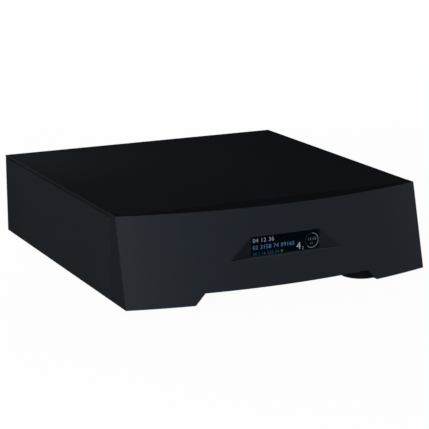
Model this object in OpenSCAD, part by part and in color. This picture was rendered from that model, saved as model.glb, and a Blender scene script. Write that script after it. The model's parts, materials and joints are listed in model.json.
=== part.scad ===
// Network music streamer in a machined aluminium case with a bowed front that leans back.
// The origin lies on the floor under the middle of the case. +X is to the right seen from the front,
// +Y runs to the rear and +Z up. All sizes are in millimetres.

/* [Case] */
// Overall width
body_w = 350; // [340:1:380]
// Overall depth, from the bulge of the front to the rear edge
body_d = 377; // [370:1:420]
// Height of the front panel and the sides, with the lid
body_h = 90.5; // [88:0.5:110]
// Gap between the case's lower edge and the floor
floor_gap = 5; // [2:0.5:6]
// Wall of the side panels and of the front panel's ends
side_t = 6; // [5:0.5:8]
// Thickness of the lid at its edge
lid_t = 3; // [2:0.25:5]
// Depth of the step under the lid that drops between the sides
lid_step = 3; // [2:0.25:4]
// Width of the border round the pocket under the lid
lid_border = 22; // [18:1:40]
// Thickness of the bottom plate
bottom_t = 3; // [2:0.25:5]
// Height of the bottom plate above the case's lower edge
bottom_lift = 12; // [11.5:0.25:16]
// Thickness of the rear panel
rear_t = 3; // [2:0.25:4]
// Depth of the rear panel inside the rear edge
rear_inset = 12; // [11:0.5:18]
// Width of the rails inside the side panels
rail_w = 8; // [7:0.5:10]
// Height of the rails inside the side panels
rail_h = 8; // [7:0.5:10]
// Bevel on the outer edges and seams
bevel = 0.7; // [0.3:0.1:1.2]

/* [Front panel] */
// Bow of the front, its middle against its ends
front_bow = 25; // [16:0.5:32]
// Lean of the face from upright, in degrees
front_slant = 15; // [8:0.5:16]
// Depth of the panel's ends along the lower edge
front_return = 36.5; // [34:0.5:44]
// Wall behind the face
front_wall = 8; // [6:0.5:10]
// Wall under the lid's seat
front_top_t = 6; // [4:0.5:8]
// Width of each leg along the lower edge
leg_w = 69; // [50:1:75]
// Height of the cut-out between the legs
leg_rise = 11.2; // [6:0.2:11.4]
// Depth of the top land at its two ends
land_end = 1.2; // [1:0.1:3]
// Fall of the top land towards the bowed edge, in degrees
land_fall = 0.75; // [0.5:0.25:4]

/* [Display] */
// Width of the window
window_w = 80; // [60:1:84]
// Height of the window
window_h = 21; // [16:0.5:24]
// Height of the window's middle above the case's lower edge
window_mid = 50.7; // [46:0.1:54]
// Distance of the recess's pointed ends from the middle
recess_tip = 65.5; // [58:0.5:75]
// Rim of metal between the ledge and the window
ledge_rim = 0.6; // [0.3:0.1:1.5]
// Thickness of the window
window_t = 2.5; // [2:0.25:4]
// Width of the flange behind the window's edge
flange_w = 3; // [2:0.25:4]
// Thickness of that flange
flange_t = 1; // [1:0.25:2]
// Thickness of the gasket
gasket_t = 0.5; // [0.5:0.25:2]
// Thickness of the display glass
glass_t = 2; // [1.5:0.25:3]
// Width of the boss round the display's seat
boss_rim = 8; // [7:0.5:10]

/* [Feet] */
// Radius of a foot
foot_r = 23; // [18:0.5:24]
// Distance of the front feet from the sides
front_foot_x = 67.5; // [60:0.5:85]
// Distance of the rear feet from the sides
rear_foot_x = 47; // [41:0.5:85]
// Distance of the rear feet from the rear edge
rear_foot_y = 46; // [36:1:70]
// Clearance between the front feet and the face's wall
foot_clear = 1.5; // [1:0.25:4]
// Radius of the rubber pad
pad_r = 17; // [13:0.5:17]
// Thickness of the rubber pad
pad_t = 3; // [2.5:0.25:4]
// Depth of the pad's seat in the foot
pad_seat = 1.5; // [1:0.25:2]

/* [Power supply] */
// Radius of the transformer
coil_r = 48; // [40:1:48]
// Height of the transformer
coil_h = 40; // [30:1:44]
// Radius of the transformer's hole
coil_hole_r = 16; // [14:0.5:20]
// Distance of the transformer's middle from the rear panel
coil_back = 98; // [92:1:104]
// Thickness of the transformer's rubber pads
coil_pad_t = 2; // [1:0.25:3]
// Width of the supply board
supply_w = 92; // [84:1:92]
// Depth of the supply board
supply_d = 112; // [104:1:116]
// Radius of a smoothing capacitor
can_r = 11; // [9:0.5:12]
// Height of a smoothing capacitor
can_h = 36; // [25:1:40]
// Height of the shield wall
shield_h = 60; // [45:1:64]
// Thickness of the shield wall
shield_t = 2; // [1.5:0.25:2.5]

/* [Boards] */
// Width of the main board
main_w = 168; // [150:1:190]
// Depth of the main board
main_d = 150; // [140:1:156]
// Thickness of a circuit board
board_t = 1.6; // [1.2:0.2:2]
// Height of the posts under the boards
post_h = 8; // [6:0.5:10]
// Radius of a post
post_r = 3; // [2.5:0.25:3.5]
// Height of the processor's heatsink
sink_h = 18; // [12:1:24]
// Distance from the rear panel to the output board
jack_depth = 20; // [19:0.5:24]

/* [Rear sockets] */
// Height of the mains inlet and the switch above the bottom plate
power_z = 38; // [34:0.5:44]
// Width of the inlet's flange
inlet_w = 48; // [46:0.5:50]
// Height of the inlet's flange
inlet_h = 34; // [33:0.5:36]
// Thickness of the inlet's flange
inlet_t = 2.6; // [2:0.2:3]
// Length of the rocker
rocker_l = 19; // [16:0.5:21]
// Width of the rocker
rocker_w = 13; // [10:0.5:15]
// Tilt of the rocker to each side, in degrees
rocker_tilt = 10; // [6:0.5:12]
// Height of the XLR sockets above the bottom plate
xlr_z = 38; // [30:0.5:46]
// Distance between the two XLR sockets
xlr_pitch = 36; // [32:0.5:38]
// Inner radius of an XLR shell
xlr_r = 8; // [7.8:0.1:8.4]
// Height of the lower phono socket above the bottom plate
phono_z = 24; // [22:0.5:28]
// Distance between the two phono sockets
phono_pitch = 28; // [22:0.5:32]
// Radius of a phono barrel
phono_r = 4.15; // [4:0.05:4.3]
// Length of a phono barrel behind the panel's face
phono_l = 9.5; // [8:0.25:10.5]
// Radius of the ground post
stud_r = 2; // [1.5:0.1:2.5]
// Height of the ground post above the bottom plate
stud_z = 52; // [46:0.5:58]

/* [Fits] */
// Play round pieces that slip into a cut-out
play = 0.3; // [0.2:0.05:0.4]
// Play round a pin that turns in its hole
run = 0.05; // [0.03:0.01:0.08]
// Radius of the case's screws
screw_r = 1.5; // [1.25:0.05:1.75]
// Radius of the foot screws
foot_screw_r = 2.5; // [2:0.1:2.75]

/* [Hidden] */
$fn = 48;

// How far a cut runs past a face, and how far joined shapes run into each other
over = 1;
// Facets of the large bowed face
bow_fn = 720;

case_black = "#26292c";
edge_grey = "#8c9094";
dark_plastic = "#17181a";
board_green = "#1d4a33";
gold = "#c9a44a";
copper = "#b5713c";

// Main planes of the case. The front plane is where the face would reach the lower edge in the middle,
// below the cut-out between the legs.
half_w = body_w / 2;
front_y = -body_d / 2 - leg_rise * tan(front_slant);
rear_y = body_d / 2;
base_z = floor_gap;
top_z = base_z + body_h;
lid_z = top_z - lid_t;
bottom_z = base_z + bottom_lift;
floor_z = bottom_z + bottom_t;
rear_out = rear_y - rear_inset;
rear_in = rear_out - rear_t;
inner_x = half_w - side_t;
rail_x = inner_x - rail_w;
rail_mid = inner_x - rail_w / 2;
plate_x = inner_x - play;
rail_top = lid_z - lid_step;

// Bowed face: a cylinder on a leaning axis
corner_y = front_y + front_bow;
seam_y = corner_y + front_return;
bow_rise = front_bow * cos(front_slant);
bow_r = (half_w * half_w + bow_rise * bow_rise) / (2 * bow_rise);
lid_front = corner_y + body_h * tan(front_slant) + land_end;
lid_gap = 0.4;
tongue_x = inner_x - lid_gap;
function face_y(x, z, inset = 0) = front_y + (z - base_z) * tan(front_slant)
    + (bow_r - sqrt(pow(bow_r - inset, 2) - x * x)) / cos(front_slant);

// Display
window_z = base_z + window_mid;
window_top = window_z + window_h / 2;
ledge_z = window_z - window_h / 2 - ledge_rim;
recess_y = face_y(window_w / 2, window_top);
recess_flare = (recess_tip - window_w / 2) / (recess_y - face_y(recess_tip, ledge_z));
seat_y = recess_y + window_t;
gasket_y = seat_y + flange_t;
glass_y = gasket_y + gasket_t;
display_y = glass_y + glass_t;
gasket_w = 2;
seat_room = [2, 1.5];
seat_w = window_w + 2 * (flange_w + seat_room.x);
seat_h = window_h + 2 * (flange_w + seat_room.y);
boss_w = seat_w + 2 * boss_rim;
boss_h = seat_h + 2 * boss_rim;
display_hole_x = seat_w / 2 + boss_rim / 2;
display_hole_z = seat_h / 4;
display_back = display_y + board_t;

// Fasteners
screw_head = 1.8;
screw_head_h = 1.1;
thread_play = 0.05;
hole_depth = 4;
nut_r = 1.9;
nut_h = 0.9;
joiner_t = 4;
joiner_l = 11;
joiner_edge = 6;
joiner_pitch = 14;
joiner_low = floor_z + rail_h + joiner_edge + 2;
joiner_z = [joiner_low, joiner_low + joiner_pitch];
cover_screw_y = [for (t = [0.08, 0.36, 0.64, 0.92]) seam_y + t * (rear_in - seam_y)];
bottom_screw_y = [for (t = [0.12, 0.5, 0.88]) seam_y + t * (rear_in - seam_y)];
rear_screw_z = [floor_z + rail_h / 2, rail_top - rail_h / 2];
rear_screw_l = 10;

// Feet
front_foot = [half_w - front_foot_x,
    face_y(half_w - front_foot_x + foot_r / 3, bottom_z, front_wall) + foot_r + foot_clear];
rear_foot = [half_w - rear_foot_x, rear_y - rear_foot_y];
feet = [[-front_foot.x, front_foot.y], front_foot, [-rear_foot.x, rear_foot.y], rear_foot];
foot_z = pad_t - pad_seat;
foot_edge = 1.5;
groove_w = 1.2;
groove_d = 0.8;
groove_z = [for (t = [0.3, 0.55]) foot_z + t * (bottom_z - foot_z)];

// Supply bay on the left, with the shield wall between it and the boards
bay_gap = 4;
coil_x = -(rail_x - bay_gap - coil_r);
coil_y = rear_in - coil_back;
coil_z = floor_z + coil_pad_t;
dish_lip = 14;
dish_r = coil_hole_r + dish_lip;
dish_t = 1.5;
coil_bolt_r = 3;
shield_x = coil_x + coil_r + bay_gap;
shield_flange = 12;
supply_x = -(rail_x - bay_gap - supply_w);
supply_y = coil_y - coil_r - 2 * bay_gap;
// Slots in the bottom plate, in two groups
vent = [40, 3];
vent_pitch = 8;
vent_count = 7;
vent_in = 85;
vent_x = half_w - vent_in;
vent_y = supply_y - supply_d / 2;
board_z = floor_z + post_h;
parts_z = board_z + board_t;
board_gap = 3;
main_x = shield_x + shield_t + board_gap;
main_end = main_x + main_w;
main_y = rear_in - board_gap / 3;
output_y = rear_in - jack_depth;
post_in = 6;
rear_post_in = 46;
function corners(x0, x1, y0, y1) = [for (x = [x0, x1]) for (y = [y0, y1]) [x, y]];
supply_posts = corners(supply_x - supply_w + post_in, supply_x - post_in,
    supply_y - supply_d + post_in, supply_y - post_in);
main_posts = corners(main_x + shield_flange, main_end - post_in,
    main_y - main_d + post_in, main_y - rear_post_in);
posts = concat(supply_posts, main_posts);
can_in = 20;
fin_base = 4;
sink_in = [16, 18];
sink_size = [60, 20, 34];
sink_x = supply_x - supply_w + sink_in.x;
sink_y = supply_y - supply_d + sink_in.y;
regulator = [10, 4.5, 19];
regulator_pitch = 14;
chip_h = 2;
chip_gap = 3;
processor_w = 30;
processor_in = [70, 116];
processor = [main_x + processor_in.x, main_y - processor_in.y];
sink_margin = 4;
small_chip = 12;
large_chip = 18;
large_chip_in = [20, 110];
large_chip_pitch = 26;
cap_r = 5;
cap_h = 13;
cap_in = [16, 15];
cap_pitch = 15;
output_edge = 12;
output_header = [40, 4, 9];
output_coil = [26, 22, 24];
output_coil_in = [30, 57];
output_coil_pitch = 32;

// Rear sockets
inlet_edge = 8;
inlet_x = -(rail_x - inlet_w / 2 - inlet_edge);
inlet_z = floor_z + power_z;
inlet_body = [28, 27, 31];
inlet_corner = 6;
inlet_screw_x = inlet_w / 2 - 4;
plug_w = 24.4;
plug_h = 16.4;
plug_cut = 4;
plug_depth = 17;
plug_up = 5.2;
plug_z = inlet_z + plug_up;
pin_w = 2;
pin_h = 4;
pin_set = 2;
pin_pitch = 7;
pin_places = [[inlet_x - pin_pitch, plug_z - pin_h / 2], [inlet_x + pin_pitch, plug_z - pin_h / 2],
    [inlet_x, plug_z + pin_h / 2]];
drawer_w = 23;
drawer_h = 7.6;
drawer_l = 18;
drawer_down = 10.2;
drawer_z = inlet_z - drawer_down;
drawer_lip = 0.8;
fuse_r = 2.6;
fuse_l = 20;
fuse_play = 0.2;
fuse_back = 3;
drawer_floor = 1;
switch_gap = 20;
switch_x = inlet_x + inlet_w / 2 + switch_gap;
switch_z = inlet_z;
rocker_sink = 3;
rocker_axis_y = rear_out - rocker_sink;
rocker_valley = 4.6;
rocker_end = rocker_valley + rocker_l / 2 * tan(rocker_tilt);
rocker_sweep = norm([rocker_l / 2, rocker_end])
    * sin(atan2(rocker_l / 2, rocker_end) + rocker_tilt) + play;
rocker_pin_r = 1.5;
switch_wall = 2;
switch_lip = 1.6;
switch_t = 1.8;
switch_depth = 12;
switch_corner = 1;
switch_w = rocker_w + 2 * play + 2 * switch_wall;
switch_h = 2 * (rocker_sweep + switch_wall);
switch_back = rocker_axis_y - switch_depth;
tab_l = 7;
tab_w = 4;
tab_t = 0.8;
tab_x = 4;
tab_z = 6;
xlr_edge = 24;
xlr_x = [rail_x - xlr_edge - xlr_pitch, rail_x - xlr_edge];
xlr_w = 26;
xlr_h = 31;
xlr_t = 2.2;
xlr_wall = 3.6;
xlr_cavity = 16;
xlr_pin_r = 1.2;
xlr_pin_ring = 3.7;
xlr_pin_set = 1.5;
xlr_pin_angles = [30, 150, 270];
xlr_corner = 3;
xlr_screw = [9.5, 12];
phono_gap = 30;
phono_x = xlr_x[0] - phono_gap;
phono_ring_r = 7;
phono_ring_t = 1.6;
phono_bush_r = 5;
phono_hole_r = 1.65;
phono_hole_l = 8;
socket_screw_end = 2;
port_gap = 18;
port_start = 18;
lan_x = main_x + port_start;
usb_x = lan_x + port_gap;
optical_x = usb_x + port_gap;
bnc_x = optical_x + port_gap;
lan = [16, 21, 13.5];
usb = [14.5, 18, 15.6];
optical = [12, 14, 11.6];
proud = 0.6;
port_z = parts_z;
optical_hole = 7;
optical_depth = 9.5;
flap_t = 0.8;
flap_pin_r = 0.5;
flap_gap = 0.1;
flap_z = port_z + optical.z / 2 + optical_hole / 2 - flap_pin_r - flap_gap;
flap_y = rear_out - proud;
bnc_r = 4.85;
bnc_bore_r = 4.05;
bnc_l = 10.5;
bnc_up = 8;
bnc_z = port_z + bnc_up;
bnc_hex_r = 7.5;
bnc_hex_t = 2.4;
bnc_floor = 1.5;
bnc_core_r = 2.5;
bnc_pin_r = 0.7;
bnc_lug_in = 4;
bnc_lug_r = 1;
bnc_block = [13, 12, 13];
stud_x = lan_x;
stud_out = 11;
stud_in = 8;
stud_nut_h = 2.6;
knob_r = 5;
knob_l = 7;
ribbon_w = 20;
ribbon_t = 1;
ribbon_x = 8;
wire_r = 1.2;
wire_bend = 5;
wire_pitch = 4;
wire_lead = 3;
notch_y = 40;
notch_h = 10;
lead_in = 24;
wire_sides = 8;
// Direction that no wire runs along, which keeps its rings from twisting
wire_ref = [0.37, 0.21, 0.9];

// Solid between two opposite corners
module block(low, high) {
    translate(low) cube(high - low);
}

// A shape and its mirror image on the other side of the case
module both_sides() {
    children();
    mirror([1, 0, 0]) children();
}

// Space behind the bowed face, drawn in by a wall square to it
module behind_face(inset) {
    translate([0, front_y, base_z]) rotate([-front_slant, 0, 0]) translate([0, bow_r, -body_h])
        cylinder(r = bow_r - inset, h = 3 * body_h, $fn = bow_fn);
}

// Bar standing on edge that bevels the edge it lies along
module bevel_bar(length) {
    rotate([0, 0, 45]) cube([bevel * sqrt(2), bevel * sqrt(2), length + 2 * over], center = true);
}

// Screw with a hexagon socket: the head sits on z = 0 and the shank points down
module screw(shank, r = screw_r) {
    head_h = screw_head_h * r;
    difference() {
        union() {
            cylinder(r = screw_head * r, h = head_h);
            translate([0, 0, -shank]) cylinder(r = r - thread_play, h = shank + head_h / 2);
        }
        translate([0, 0, head_h / 2]) cylinder(r = 0.8 * r, h = head_h, $fn = 6);
    }
}

// Hexagon nut from z = 0 upwards
module nut(r) {
    difference() {
        cylinder(r = nut_r * r, h = nut_h * 2 * r, $fn = 6);
        translate([0, 0, -over]) cylinder(r = r, h = nut_h * 2 * r + 2 * over);
    }
}

// Points of a route with its corners rounded
function rounded(route) = [
    route[0],
    for (i = [1 : len(route) - 2]) let (
        back = route[i - 1] - route[i],
        ahead = route[i + 1] - route[i],
        set = min(wire_bend, norm(back) / 3, norm(ahead) / 3),
        a = route[i] + set * back / norm(back),
        b = route[i] + set * ahead / norm(ahead)
    ) for (t = [0 : 0.25 : 1]) (1 - t) * (1 - t) * a + 2 * t * (1 - t) * route[i] + t * t * b,
    route[len(route) - 1],
];

// Wire swept along a route
module wire(route) {
    path = rounded(route);
    n = len(path);
    s = wire_sides;
    points = [for (i = [0 : n - 1]) let (
        along = path[min(i + 1, n - 1)] - path[max(i - 1, 0)],
        side = cross(along, wire_ref) / norm(cross(along, wire_ref)),
        up = cross(side, along) / norm(along)
    ) for (k = [0 : s - 1]) path[i] + wire_r * (cos(360 * k / s) * side + sin(360 * k / s) * up)];
    walls = [for (i = [0 : n - 2]) for (k = [0 : s - 1]) let (a = i * s + k, b = i * s + (k + 1) % s)
        each [[a, b, b + s], [a, b + s, a + s]]];
    start = [for (k = [1 : s - 2]) [0, k + 1, k]];
    end = [for (k = [1 : s - 2]) (n - 1) * s * [1, 1, 1] + [0, k, k + 1]];
    polyhedron(points, concat(walls, start, end));
}

// Flat ribbon in the upright plane: runs through points of (depth, height)
module ribbon(points, width) {
    rotate([90, 0, 90]) linear_extrude(width, center = true) {
        for (i = [0 : len(points) - 2]) {
            d = points[i + 1] - points[i];
            translate(points[i]) rotate(atan2(d.y, d.x)) translate([0, -ribbon_t / 2])
                square([norm(d), ribbon_t]);
        }
        for (i = [1 : len(points) - 2]) translate(points[i]) circle(d = ribbon_t);
    }
}

// Outline of a slot with round ends, its long side along X
module slot(size) {
    square([size.x - size.y, size.y], center = true);
    for (s = [-1, 1]) translate([s * (size.x - size.y) / 2, 0]) circle(d = size.y, $fn = 24);
}

// Plate with round corners on the rear panel's face
module flange(x, z, w, h, r, t) {
    translate([x, rear_out, z]) rotate([-90, 0, 0]) linear_extrude(t) {
        square([w - 2 * r, h], center = true);
        square([w, h - 2 * r], center = true);
        for (i = [-1, 1]) for (j = [-1, 1]) translate([i * (w / 2 - r), j * (h / 2 - r)]) circle(r);
    }
}

// Cylinder that points to the rear from a place on the panel
module rearward(x, y, z, r, length) {
    translate([x, y, z]) rotate([-90, 0, 0]) cylinder(r = r, h = length);
}

// Finned heatsink on a base plate, standing at a corner
module heatsink(size, base, fins) {
    cube([size.x, size.y, base]);
    fin = size.x / (2 * fins - 1);
    for (i = [0 : fins - 1]) translate([2 * i * fin, 0, base - over / 2])
        cube([fin, size.y, size.z - base + over / 2]);
}

// Rectangular plate with holes for its posts
module circuit_board(low, high, holes) {
    difference() {
        block(low, high);
        for (p = holes) translate([p.x, p.y, low.z - over]) cylinder(r = screw_r, h = board_t + 2 * over);
    }
}

// Case

module front_shell() {
    difference() {
        intersection() {
            block([-half_w, front_y - over, base_z], [half_w, seam_y, top_z]);
            behind_face(0);
        }
        intersection() {
            block([-inner_x, front_y, base_z - over], [inner_x, seam_y + over, lid_z - front_top_t]);
            behind_face(front_wall);
        }
    }
    intersection() {
        block([-boss_w / 2, front_y, window_z - boss_h / 2], [boss_w / 2, display_y, window_z + boss_h / 2]);
        behind_face(front_wall / 2);
    }
}

module display_recess() {
    reach = recess_y - front_y + over;
    half = window_w / 2;
    tip = half + reach * recess_flare;
    translate([0, 0, ledge_z]) linear_extrude(window_top - ledge_z)
        polygon([[-half, recess_y], [half, recess_y], [tip, recess_y - reach], [-tip, recess_y - reach]]);
    block([-half, recess_y - over, window_z - window_h / 2], [half, seat_y + over, window_top]);
    block([-seat_w / 2, seat_y, window_z - seat_h / 2],
        [seat_w / 2, display_y + over, window_z + seat_h / 2]);
    block([-boss_w / 2, display_y, window_z - boss_h / 2], [boss_w / 2, seam_y, window_z + boss_h / 2]);
}

module leg_gap() {
    foot = half_w - leg_w;
    translate([0, seam_y + over, 0]) rotate([90, 0, 0]) linear_extrude(seam_y - front_y + 2 * over)
        polygon([[-foot - over, base_z - over], [foot + over, base_z - over],
            [foot - leg_rise, base_z + leg_rise], [leg_rise - foot, base_z + leg_rise]]);
}

module joiner_holes(y) {
    for (z = joiner_z) translate([inner_x - over, y, z]) rotate([0, 90, 0])
        cylinder(r = screw_r, h = hole_depth + over);
}

module front_panel() {
    color(case_black) difference() {
        front_shell();
        display_recess();
        leg_gap();
        block([-inner_x, lid_front, lid_z], [inner_x, seam_y + over, top_z + over]);
        translate([-half_w - over, lid_front, top_z]) rotate([land_fall, 0, 0])
            translate([0, -2 * front_bow, 0]) cube([body_w + 2 * over, 2 * front_bow, 2 * lid_t]);
        both_sides() {
            translate([half_w, seam_y, base_z + body_h / 2]) bevel_bar(body_h);
            joiner_holes(seam_y - joiner_l / 2);
        }
        for (x = [-1, 1]) for (z = [-1, 1])
            rearward(x * display_hole_x, display_y - hole_depth, window_z + z * display_hole_z,
                screw_r, hole_depth + over);
    }
}

module top_cover() {
    color(case_black) difference() {
        union() {
            block([-half_w, seam_y + lid_gap, lid_z], [half_w, rear_y, top_z]);
            block([-tongue_x, lid_front + lid_gap, lid_z], [tongue_x, seam_y + lid_gap + over, top_z]);
            block([-plate_x, seam_y + play, rail_top], [plate_x, rear_in - play, lid_z + over]);
        }
        block([lid_border - plate_x, seam_y + play + lid_border, rail_top - over],
            [plate_x - lid_border, rear_in - play - lid_border, lid_z]);
        both_sides() {
            for (z = [lid_z, top_z]) translate([half_w, 0, z]) rotate([90, 0, 0]) bevel_bar(body_d);
            translate([half_w, seam_y + lid_gap, lid_z + lid_t / 2]) bevel_bar(lid_t);
            for (y = cover_screw_y) translate([rail_mid, y, rail_top - over])
                cylinder(r = screw_r, h = hole_depth + over);
        }
        translate([0, rear_y, top_z]) rotate([0, 90, 0]) bevel_bar(body_w);
    }
}

// Right side panel: the left one is its mirror image
module side_panel() {
    color(case_black) difference() {
        union() {
            block([inner_x, seam_y, base_z], [half_w, rear_y, lid_z]);
            block([rail_x, seam_y, floor_z], [inner_x + over, rear_in, floor_z + rail_h]);
            block([rail_x, seam_y, rail_top - rail_h], [inner_x + over, rear_in, rail_top]);
        }
        for (y = [seam_y, rear_y]) translate([half_w, y, base_z + body_h / 2]) bevel_bar(body_h);
        translate([half_w, (seam_y + rear_y) / 2, lid_z]) rotate([90, 0, 0]) bevel_bar(rear_y - seam_y);
        joiner_holes(seam_y + joiner_l / 2);
        for (y = cover_screw_y) translate([rail_mid, y, rail_top - rail_h - over])
            cylinder(r = screw_r, h = rail_h + 2 * over);
        for (y = bottom_screw_y) translate([rail_mid, y, floor_z - over])
            cylinder(r = screw_r, h = hole_depth + over);
        for (z = rear_screw_z) rearward(rail_mid, rear_in - rear_screw_l, z, screw_r, rear_screw_l + over);
    }
}

module left_side_panel() {
    mirror([1, 0, 0]) side_panel();
}

module right_side_panel() {
    side_panel();
}

module bottom_plate() {
    color(case_black) difference() {
        intersection() {
            block([-plate_x, front_y, bottom_z], [plate_x, rear_out, floor_z]);
            behind_face(front_wall + play);
        }
        both_sides() for (y = bottom_screw_y) translate([rail_mid, y, bottom_z - over])
            cylinder(r = screw_r, h = bottom_t + 2 * over);
        for (p = feet) translate([p.x, p.y, bottom_z - over])
            cylinder(r = foot_screw_r, h = bottom_t + 2 * over);
        translate([coil_x, coil_y, bottom_z - over]) cylinder(r = coil_bolt_r, h = bottom_t + 2 * over);
        both_sides() for (i = [0 : vent_count - 1])
            translate([vent_x, vent_y + (i - (vent_count - 1) / 2) * vent_pitch, bottom_z - over])
                linear_extrude(bottom_t + 2 * over) slot(vent);
    }
}

module rear_panel() {
    depth = rear_t + 2 * over;
    y = rear_in - over;
    color(case_black) difference() {
        block([-plate_x, rear_in, floor_z], [plate_x, rear_out, lid_z]);
        both_sides() for (z = rear_screw_z) rearward(rail_mid, y, z, screw_r, depth);
        translate([inlet_x, rear_in, inlet_z]) cube([inlet_body.x + 2 * play, 2 * rear_t + 2 * over,
            inlet_body.z + 2 * play], center = true);
        translate([switch_x, rear_in, switch_z]) cube([switch_w + 2 * play, 2 * rear_t + 2 * over,
            switch_h + 2 * play], center = true);
        for (s = [-1, 1]) rearward(inlet_x + s * inlet_screw_x, y, inlet_z, screw_r, depth);
        for (x = xlr_x) {
            rearward(x, y, floor_z + xlr_z, xlr_r + xlr_wall + play, depth);
            for (s = [-1, 1])
                rearward(x + s * xlr_screw.x, y, floor_z + xlr_z + s * xlr_screw.y, screw_r, depth);
        }
        for (i = [0, 1])
            rearward(phono_x, y, floor_z + phono_z + i * phono_pitch, phono_bush_r + play, depth);
        rearward(bnc_x, y, bnc_z, bnc_r + play, depth);
        rearward(stud_x, y, floor_z + stud_z, stud_r + thread_play, depth);
        for (p = [[lan_x, lan], [usb_x, usb], [optical_x, optical]])
            translate([p[0] - p[1].x / 2 - play, y, port_z - play])
                cube([p[1].x + 2 * play, depth, p[1].z + 2 * play]);
    }
}

module joiner_bars() {
    color(edge_grey) both_sides() difference() {
        block([inner_x - joiner_t, seam_y - joiner_l, joiner_z[0] - joiner_edge],
            [inner_x, seam_y + joiner_l, joiner_z[1] + joiner_edge]);
        for (s = [-1, 1]) for (z = joiner_z)
            translate([inner_x - joiner_t - over, seam_y + s * joiner_l / 2, z]) rotate([0, 90, 0])
                cylinder(r = screw_r, h = joiner_t + 2 * over);
    }
}

// Screws of the joiner bars, the lid and the bottom plate
module case_screws() {
    color("silver") both_sides() {
        for (s = [-1, 1]) for (z = joiner_z)
            translate([inner_x - joiner_t, seam_y + s * joiner_l / 2, z]) rotate([0, -90, 0])
                screw(joiner_t + hole_depth - play);
        for (y = cover_screw_y) translate([rail_mid, y, rail_top - rail_h]) mirror([0, 0, 1])
            screw(rail_h + hole_depth - play);
        for (y = bottom_screw_y) translate([rail_mid, y, bottom_z]) mirror([0, 0, 1])
            screw(bottom_t + hole_depth - play);
    }
}

module rear_screws() {
    color("silver") both_sides() for (z = rear_screw_z)
        translate([rail_mid, rear_out, z]) rotate([-90, 0, 0]) screw(rear_t + rear_screw_l - play);
}

// Feet

module foot(p) {
    head_z = pad_t + screw_head_h * foot_screw_r + play;
    grooves = [for (z = groove_z) each [[foot_r, z - groove_w / 2], [foot_r - groove_d, z - groove_w / 2],
        [foot_r - groove_d, z + groove_w / 2], [foot_r, z + groove_w / 2]]];
    color(dark_plastic) translate([p.x, p.y, 0]) rotate_extrude() polygon(concat(
        [[pad_r + play / 3, foot_z], [foot_r - foot_edge, foot_z], [foot_r, foot_z + foot_edge]], grooves,
        [[foot_r, bottom_z], [foot_screw_r, bottom_z], [foot_screw_r, head_z],
            [screw_head * foot_screw_r + play, head_z], [screw_head * foot_screw_r + play, pad_t],
            [pad_r + play / 3, pad_t]]));
}

module pad(p) {
    edge = 0.5;
    color("#0c0d0e") translate([p.x, p.y, 0]) rotate_extrude()
        polygon([[0, 0], [pad_r - edge, 0], [pad_r, edge], [pad_r, pad_t], [0, pad_t]]);
}

module foot_screws() {
    head_z = pad_t + screw_head_h * foot_screw_r + play;
    color("silver") for (p = feet) translate([p.x, p.y, head_z]) mirror([0, 0, 1])
        screw(floor_z - head_z + 2 * nut_h * foot_screw_r + over, foot_screw_r);
    color("silver") for (p = feet) translate([p.x, p.y, floor_z]) nut(foot_screw_r);
}

// Display

module display_window() {
    slip = play / 2;
    color("#0a0c0f") union() {
        block([slip - window_w / 2, recess_y, window_z - window_h / 2 + slip],
            [window_w / 2 - slip, seat_y + flange_t, window_top - slip]);
        block([-window_w / 2 - flange_w, seat_y, window_z - window_h / 2 - flange_w],
            [window_w / 2 + flange_w, gasket_y, window_top + flange_w]);
    }
}

module display_gasket() {
    half = [window_w / 2 + flange_w, window_h / 2 + flange_w];
    hole = half - [gasket_w, gasket_w];
    color("#0c0d0e") difference() {
        block([-half.x, gasket_y, window_z - half.y], [half.x, glass_y, window_z + half.y]);
        block([-hole.x, gasket_y - over, window_z - hole.y], [hole.x, glass_y + over, window_z + hole.y]);
    }
}

module display_glass() {
    slip = 1;
    color("#050709") block([slip - seat_w / 2, glass_y, window_z - seat_h / 2 + slip],
        [seat_w / 2 - slip, display_y, window_z + seat_h / 2 - slip]);
}

module display_board() {
    slip = 1;
    color(board_green) difference() {
        block([slip - boss_w / 2, display_y, window_z - boss_h / 2 + slip],
            [boss_w / 2 - slip, display_back, window_z + boss_h / 2 - slip]);
        for (x = [-1, 1]) for (z = [-1, 1]) rearward(x * display_hole_x, display_y - over,
            window_z + z * display_hole_z, screw_r, board_t + 2 * over);
    }
}

module display_screws() {
    color("silver") for (x = [-1, 1]) for (z = [-1, 1])
        translate([x * display_hole_x, display_back, window_z + z * display_hole_z])
            rotate([-90, 0, 0]) screw(board_t + hole_depth - play);
}

module display_ribbon() {
    drop = 8;
    low = floor_z + 2;
    front = main_y - main_d;
    high = parts_z + ribbon_t / 2;
    color("#b9bcc2") translate([ribbon_x, 0, 0]) ribbon([[display_back, window_z - drop],
        [display_back + drop, window_z - drop], [display_back + drop, low], [front - drop, low],
        [front - drop, high], [front + drop, high]], ribbon_w);
}

// Power supply

module transformer() {
    round_r = 8;
    inner = coil_hole_r + round_r;
    outer = coil_r - round_r;
    color("#2b2d31") translate([coil_x, coil_y, coil_z]) rotate_extrude() {
        translate([coil_hole_r, round_r]) square([coil_r - coil_hole_r, coil_h - 2 * round_r]);
        translate([inner, 0]) square([outer - inner, coil_h]);
        for (x = [inner, outer]) for (z = [round_r, coil_h - round_r]) translate([x, z]) circle(round_r);
    }
}

module transformer_pads() {
    lip = 6;
    color("#0c0d0e") for (z = [floor_z, coil_z + coil_h]) translate([coil_x, coil_y, z]) difference() {
        cylinder(r = dish_r + lip, h = coil_pad_t);
        translate([0, 0, -over]) cylinder(r = coil_bolt_r + play, h = coil_pad_t + 2 * over);
    }
}

module transformer_dish() {
    color("silver") translate([coil_x, coil_y, coil_z + coil_h + coil_pad_t]) rotate_extrude()
        polygon([[coil_bolt_r + play, 0], [dish_r, 0], [dish_r, dish_t], [coil_bolt_r + play, dish_t]]);
}

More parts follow.
